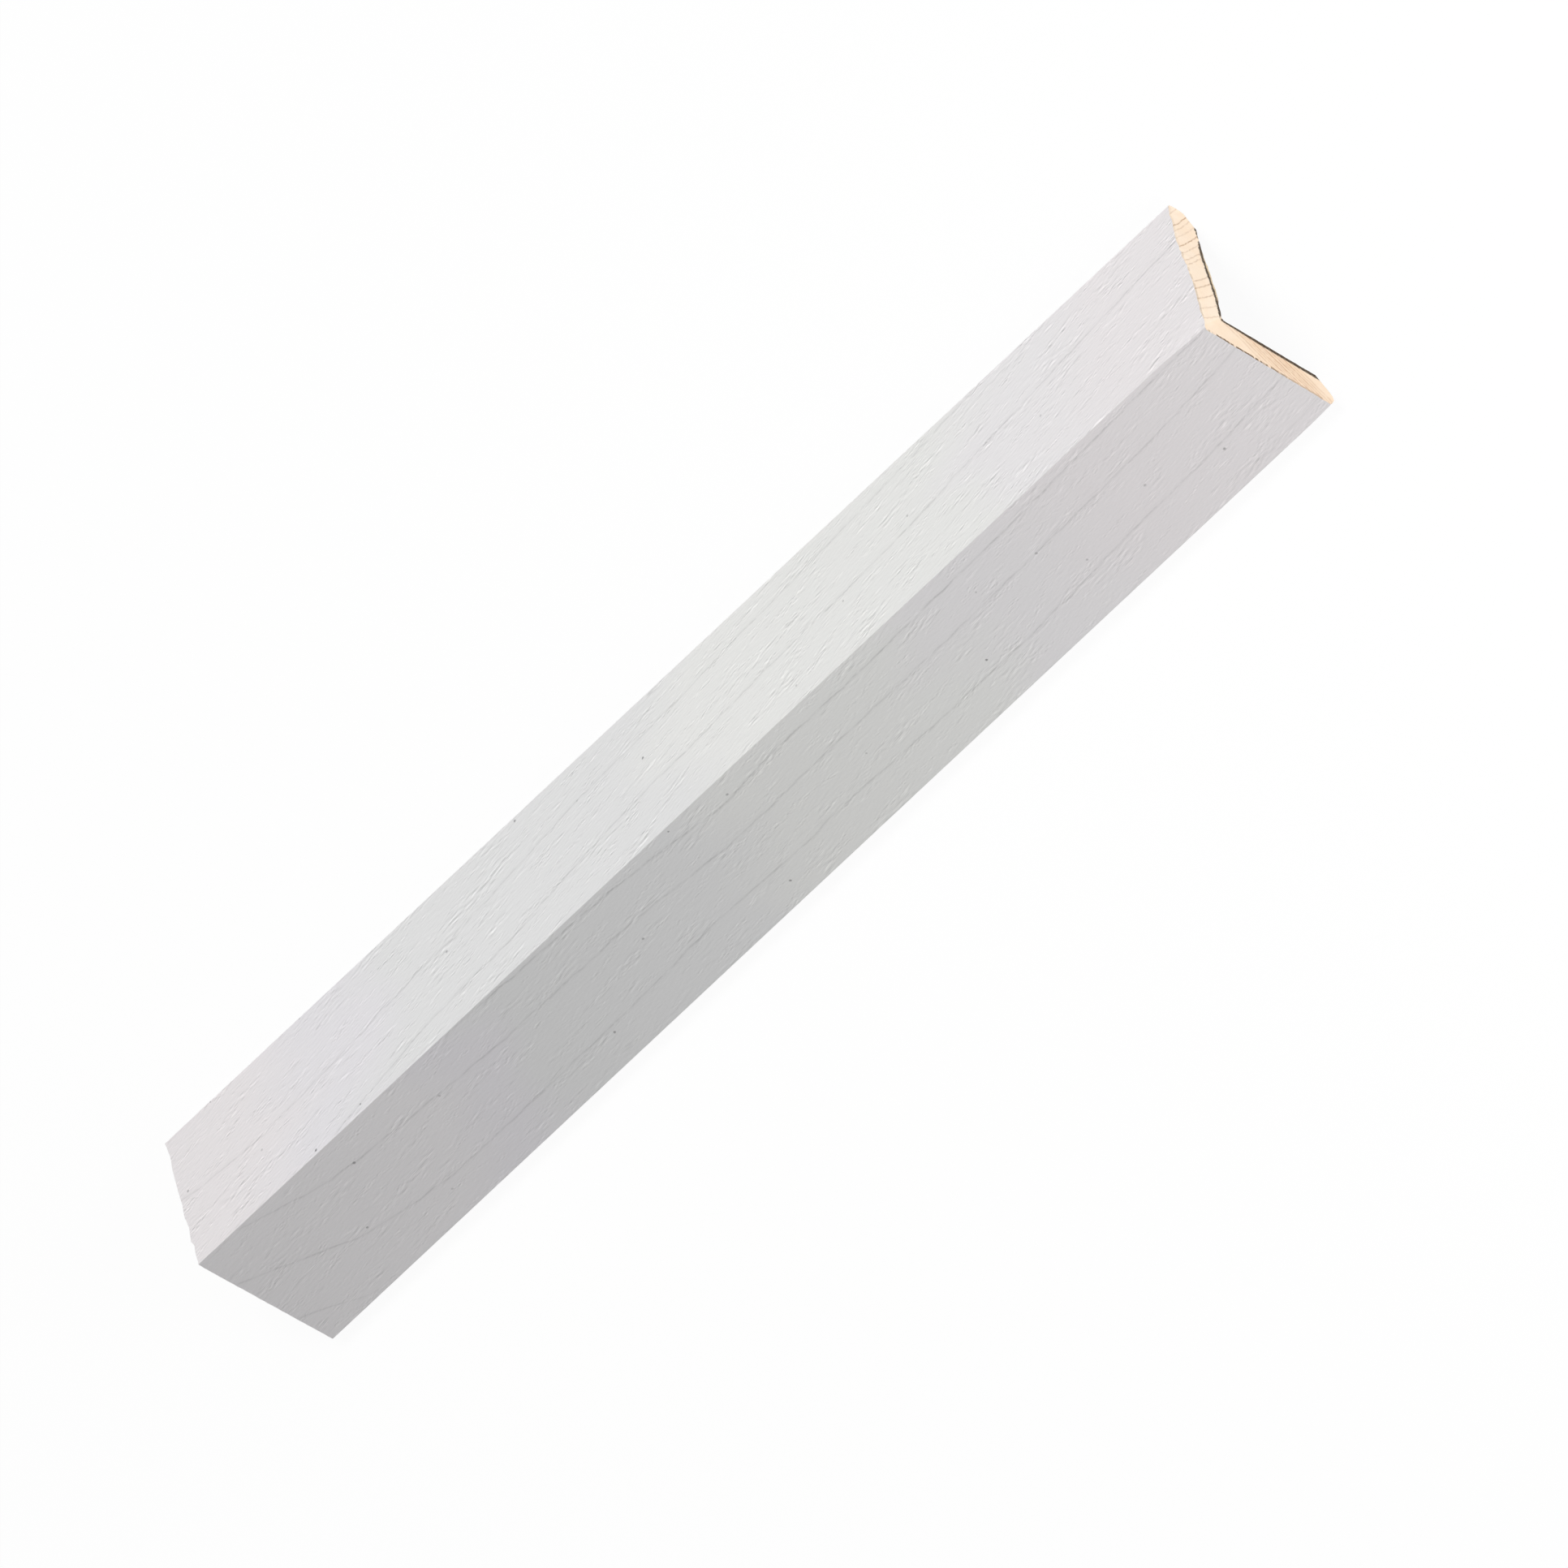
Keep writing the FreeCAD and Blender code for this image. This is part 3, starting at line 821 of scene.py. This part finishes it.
def makeCutPine():
    material, tree, surface = newMaterial("cutPine")
    surface.inputs["Specular IOR Level"].default_value = cutPine["gloss"]
    places = useGroup(tree, sectionPlaces)
    along, rightWay, leftWay = (places.outputs[name] for name in ("Along", "Right Way", "Left Way"))
    depth, across, onRight = (places.outputs[name] for name in ("Depth", "Across", "On Right"))
    onLeft = calc(tree, "SUBTRACT", 1.0, onRight)
    solid = vector(tree, times(tree, along, cutPine["ringRunOn"]), rightWay, leftWay)
    bend = swing(tree, solid, cutPine["bendScale"], 1.0)
    fine = swing(tree, solid, cutPine["fineScale"], 2.0)
    stray = times(tree, calc(tree, "ADD", fine, bend), cutPine["stray"])

    leanStart, leanGrowth = cutPine["rightLean"]
    lean = calc(tree, "MULTIPLY_ADD", rightWay, leanGrowth, leanStart)
    ringPlace = calc(tree, "SUBTRACT", rightWay, times(tree, lean, leftWay))
    ringPlace = calc(tree, "ADD", ringPlace, stray)
    rightMask = ringLines(tree, ringPlace, cutPine["rightRings"], cutPine["rightRingWidth"])
    ringPlace = calc(tree, "MULTIPLY_ADD", leftWay, cutPine["leftLean"], rightWay)
    ringPlace = calc(tree, "ADD", ringPlace, stray)
    leftMask = ringLines(tree, ringPlace, cutPine["leftRings"], cutPine["leftRingWidth"])
    broken = noise(tree, solid, cutPine["brokenScale"], 2.0)
    broken = spread(tree, broken, 0.28, 0.62, *cutPine["brokenRange"])
    rightMask = times(tree, rightMask, broken, onRight)
    leftMask = times(tree, leftMask, broken, onLeft)

    cloud = spread(tree, noise(tree, solid, cutPine["cloudScale"], 2.0), 0.25, 0.75, *cutPine["cloudRange"])
    warmth = calc(tree, "MULTIPLY_ADD", onRight, -cutPine["rightPaler"], cloud)
    colour = mixed(tree, warmth, cutPine["pale"], cutPine["warm"])
    fibrePlace = vector(tree, times(tree, along, cutPine["fibreStretch"]), rightWay, leftWay)
    fibre = noise(tree, fibrePlace, cutPine["fibreScale"], 3.0)
    shade = mixed(tree, fibre, cutPine["fibreShade"], (1.0, 1.0, 1.0, 1.0))
    colour = mixed(tree, cutPine["fibreShare"], colour, shade, "MULTIPLY")
    colour = mixed(tree, times(tree, rightMask, cutPine["ringShare"]), colour, cutPine["rightRing"])
    colour = mixed(tree, times(tree, leftMask, cutPine["ringShare"]), colour, cutPine["leftRing"])

    # broken brown line between paint and wood, strongest on the left leg towards the outer corner
    edgePlace = vector(tree, across, times(tree, onRight, 9.0), times(tree, along, 0.3))
    dash = spread(tree, noise(tree, edgePlace, cutPine["dashScale"], 1.0), *cutPine["dashEdge"])
    ragged = swing(tree, edgePlace, cutPine["raggedScale"], 3.0, 0.6)
    reach = calc(tree, "MULTIPLY_ADD", ragged, cutPine["rimRagged"], depth)
    rim = times(tree, dash, spread(tree, reach, *cutPine["rimEdge"]))
    rim = times(tree, rim, spread(tree, across, *cutPine["rimStart"]))
    rim = times(tree, rim, spread(tree, across, *cutPine["rimFade"], cutPine["rimTail"]))
    rim = times(tree, rim, byLeg(tree, onRight, cutPine["rimRight"], cutPine["rimLeft"]))
    colour = mixed(tree, rim, colour, cutPine["rim"])

    # painted shade of the inside of the angle, a dark band at the back of the cut: it thins out
    # and breaks off on the right leg
    toBack = calc(tree, "SUBTRACT", wall / mm, depth)
    full, thin = cutPine["backShadeRight"], cutPine["backShadeRight"] * cutPine["backShadeThinRight"]
    thickRight = spread(tree, across, *cutPine["backShadeThinsRight"], thin, full)
    fromGap = calc(tree, "ABSOLUTE", calc(tree, "SUBTRACT", across, cutPine["backShadeGap"]))
    thickRight = times(tree, thickRight, spread(tree, fromGap, *cutPine["backShadeGapEdge"]))
    full, thin = cutPine["backShadeLeft"], cutPine["backShadeLeft"] * cutPine["backShadeThinLeft"]
    thickLeft = spread(tree, across, *cutPine["backShadeThinsLeft"], thin, full)
    thick = calc(tree, "ADD", times(tree, thickRight, onRight), times(tree, thickLeft, onLeft))
    unevenShare = byLeg(tree, onRight, cutPine["backShadeUnevenRight"], cutPine["backShadeUnevenLeft"])
    uneven = times(tree, ragged, unevenShare)
    inside = calc(tree, "SUBTRACT", calc(tree, "ADD", thick, uneven), toBack)
    backShade = spread(tree, inside, *cutPine["backShadeEdge"])
    toRoot = calc(tree, "SUBTRACT", across, depth)
    backShade = times(tree, backShade, spread(tree, toRoot, *cutPine["rootEdge"], cutPine["rootShare"]))
    backShade = times(tree, backShade, spread(tree, fibre, 0.3, 0.6, *cutPine["backShadeFibres"]))
    colour = mixed(tree, backShade, colour, cutPine["backShade"])
    lip = calc(tree, "MULTIPLY_ADD", uneven, cutPine["fringeUneven"], toBack)
    lip = times(tree, spread(tree, lip, *cutPine["fringeEdge"]), onRight)
    for span in (cutPine["fringeStart"], cutPine["fringeEnd"]):
        lip = times(tree, lip, spread(tree, across, *span))
    colour = mixed(tree, lip, colour, cutPine["fringe"])
    feed(tree, surface.inputs["Base Color"], colour)

    feed(tree, surface.inputs["Roughness"], spread(tree, fibre, 0.2, 0.8, *cutPine["roughness"]))
    height = calc(tree, "MULTIPLY_ADD", rightMask, 0.5, times(tree, fibre, 0.6))
    height = calc(tree, "MULTIPLY_ADD", leftMask, 0.4, height)
    addRelief(tree, surface, height, cutPine["relief"])
    return material


# The back of both legs: dark brown, painted shade of the inside of the angle, with brown streaks and patches
# of wood colour.
darkBack = {
    "dark": srgb(58, 42, 31),
    "brown": srgb(92, 70, 52),
    "wood": srgb(176, 142, 108),
    "pores": {"Streak Length": 6.0, "Streak Width": 0.5, "Cluster Width": 4.0},
    "slant": 0.02,
    "streakStretch": (0.05, 1.0),
    "streakScale": 1.4,
    "streakEdge": (0.35, 0.7),
    "woodPatchStretch": (0.2, 1.0),
    "woodPatchLayer": 7.0,
    "woodPatchScale": 0.5,
    "woodPatchEdge": (0.62, 0.7),    # wood colour shows through from here on
    "woodPatchShare": 0.6,
    "roughness": (0.56, 0.76),
    "relief": 0.05 * mm,
}


def makeDarkBack():
    material, tree, surface = newMaterial("darkBackShade")
    places = useGroup(tree, sectionPlaces)
    along, across, onRight = (places.outputs[name] for name in ("Along", "Across", "On Right"))
    facePlace = calc(tree, "MULTIPLY_ADD", onRight, faceSpacing, across)
    streakPlace = stretched(tree, along, facePlace, darkBack["streakStretch"])
    streak = noise(tree, streakPlace, darkBack["streakScale"], 4.0, 0.6)
    browning = spread(tree, streak, *darkBack["streakEdge"])
    colour = mixed(tree, browning, darkBack["dark"], darkBack["brown"])
    woodPatchPlace = stretched(tree, along, facePlace, darkBack["woodPatchStretch"], darkBack["woodPatchLayer"])
    woodPatch = noise(tree, woodPatchPlace, darkBack["woodPatchScale"], 4.0, 0.65)
    woodPatch = spread(tree, woodPatch, *darkBack["woodPatchEdge"], 0.0, darkBack["woodPatchShare"])
    feed(tree, surface.inputs["Base Color"], mixed(tree, woodPatch, colour, darkBack["wood"]))
    pores = useGroup(tree, poreStreaks, Along=along, Across=facePlace, Slant=darkBack["slant"], Seed=5.0,
                     **darkBack["pores"]).outputs[0]
    feed(tree, surface.inputs["Roughness"], spread(tree, streak, 0.3, 0.7, *darkBack["roughness"]))
    height = calc(tree, "MULTIPLY_ADD", pores, 0.5, streak)
    addRelief(tree, surface, height, darkBack["relief"])
    return material


for makeFinish in (makeWhitePaint, makeCutPine, makeDarkBack):
    mesh.materials.append(makeFinish())
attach(mouldingLength, "root")
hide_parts("corner_guard")
print("finishes made:", [material.name for material in mesh.materials])


studio = {
    "floorSize": 6.0,
    "floorDrop": 0.1 * mm,      # keeps the floor clear of the faces that rest on it
    "floorColour": srgb(250, 250, 250),
    "floorGlow": 0.94,          # share of plain white in what the camera sees of the floor
    "ambient": 0.20,
    # name: place, aim, width, height, watts
    "lamps": {
        "highSoftbox": ((0.08, 0.78, 1.28), (0.0, 0.0, 0.01), 0.7, 0.6, 14.98),
        "nearFill": ((0.32, -0.26, 0.24), (0.11, 0.0, 0.01), 0.22, 0.22, 0.70),
        "endFill": ((0.62, 0.02, 0.10), (0.1165, 0.0, 0.01), 0.25, 0.18, 0.84),
        "farFill": ((-0.62, 0.02, 0.08), (-0.1165, 0.0, 0.01), 0.25, 0.18, 0.2),
    },
    "lampInGloss": "highSoftbox",   # the fill lamps light the paint but don't glare on it
}


def seenWhite(tree):
    path = put(tree, "ShaderNodeLightPath")
    shiny = calc(tree, "MAXIMUM", path.outputs["Is Glossy Ray"], path.outputs["Is Transmission Ray"])
    return calc(tree, "MAXIMUM", path.outputs["Is Camera Ray"], shiny)


def buildStudio():
    half = studio["floorSize"] / 2
    floorMesh = bpy.data.meshes.new("studioFloor")
    corners = [(-half, -half, 0), (half, -half, 0), (half, half, 0), (-half, half, 0)]
    floorMesh.from_pydata(corners, [], [(0, 1, 2, 3)])
    floor = bpy.data.objects.new("studio_floor", floorMesh)
    floor.location.z = -studio["floorDrop"]
    scene.collection.objects.link(floor)
    material = bpy.data.materials.new("paleFloor")
    material.use_nodes = True
    tree = material.node_tree
    tree.nodes.clear()
    matt = put(tree, "ShaderNodeBsdfDiffuse", {"Color": studio["floorColour"]})
    glow = put(tree, "ShaderNodeEmission", {"Color": (1, 1, 1, 1), "Strength": 1.0})
    factor = calc(tree, "MULTIPLY", seenWhite(tree), studio["floorGlow"])
    both = put(tree, "ShaderNodeMixShader", {0: factor, 1: matt.outputs[0], 2: glow.outputs[0]})
    # seen from below, the floor is clear
    under = put(tree, "ShaderNodeNewGeometry").outputs["Backfacing"]
    clear = put(tree, "ShaderNodeBsdfTransparent")
    sheet = put(tree, "ShaderNodeMixShader", {0: under, 1: both.outputs[0], 2: clear.outputs[0]})
    put(tree, "ShaderNodeOutputMaterial", {"Surface": sheet.outputs[0]})
    floorMesh.materials.append(material)

    world = bpy.data.worlds.new("studioWorld")
    world.use_nodes = True
    tree = world.node_tree
    tree.nodes.clear()
    soft = put(tree, "ShaderNodeBackground", {"Color": (1, 1, 1, 1), "Strength": studio["ambient"]})
    white = put(tree, "ShaderNodeBackground", {"Color": (1, 1, 1, 1), "Strength": 1.0})
    both = put(tree, "ShaderNodeMixShader", {0: seenWhite(tree), 1: soft.outputs[0], 2: white.outputs[0]})
    put(tree, "ShaderNodeOutputWorld", {"Surface": both.outputs[0]})
    scene.world = world

    for name, (place, aim, width, height, watts) in studio["lamps"].items():
        lamp = bpy.data.lights.new(name, "AREA")
        lamp.shape = "RECTANGLE"
        lamp.size, lamp.size_y, lamp.energy = width, height, watts
        stand = bpy.data.objects.new(name, lamp)
        stand.location = place
        stand.visible_glossy = name == studio["lampInGloss"]
        stand.rotation_euler = (Vector(aim) - Vector(place)).to_track_quat("-Z", "Y").to_euler()
        scene.collection.objects.link(stand)


view = {
    "azimuth": 72.87,
    "elevation": 65.18,
    "roll": -114.31,
    "frame": 1932,                      # pixels of the photograph, both ways
    "pixelsPerMetre": 7960.0,
    "cornerMiddle": (863.2, 979.4),     # where the middle of the outer corner line is seen
    "distance": 0.8,
}


def buildCamera():
    turn, lift, roll = (math.radians(view[name]) for name in ("azimuth", "elevation", "roll"))
    back = Vector((math.sin(turn) * math.cos(lift), -math.cos(turn) * math.cos(lift), math.sin(lift)))
    level = Vector((math.cos(turn), math.sin(turn), 0.0))
    right = math.cos(roll) * level + math.sin(roll) * back.cross(level)
    up = back.cross(right)
    middle = view["frame"] / 2
    aside = (middle - view["cornerMiddle"][0]) / view["pixelsPerMetre"]
    above = (view["cornerMiddle"][1] - middle) / view["pixelsPerMetre"]
    aim = Vector((0.0, 0.0, crestHeight)) + aside * right + above * up
    lens = bpy.data.cameras.new("photoCamera")
    lens.type = "ORTHO"
    lens.ortho_scale = view["frame"] / view["pixelsPerMetre"]
    camera = bpy.data.objects.new("photoCamera", lens)
    turned = Matrix((right, up, back)).transposed().to_4x4()
    camera.matrix_world = Matrix.Translation(aim + back * view["distance"]) @ turned
    scene.collection.objects.link(camera)
    scene.camera = camera


buildStudio()
buildCamera()
print("studio and camera ready")
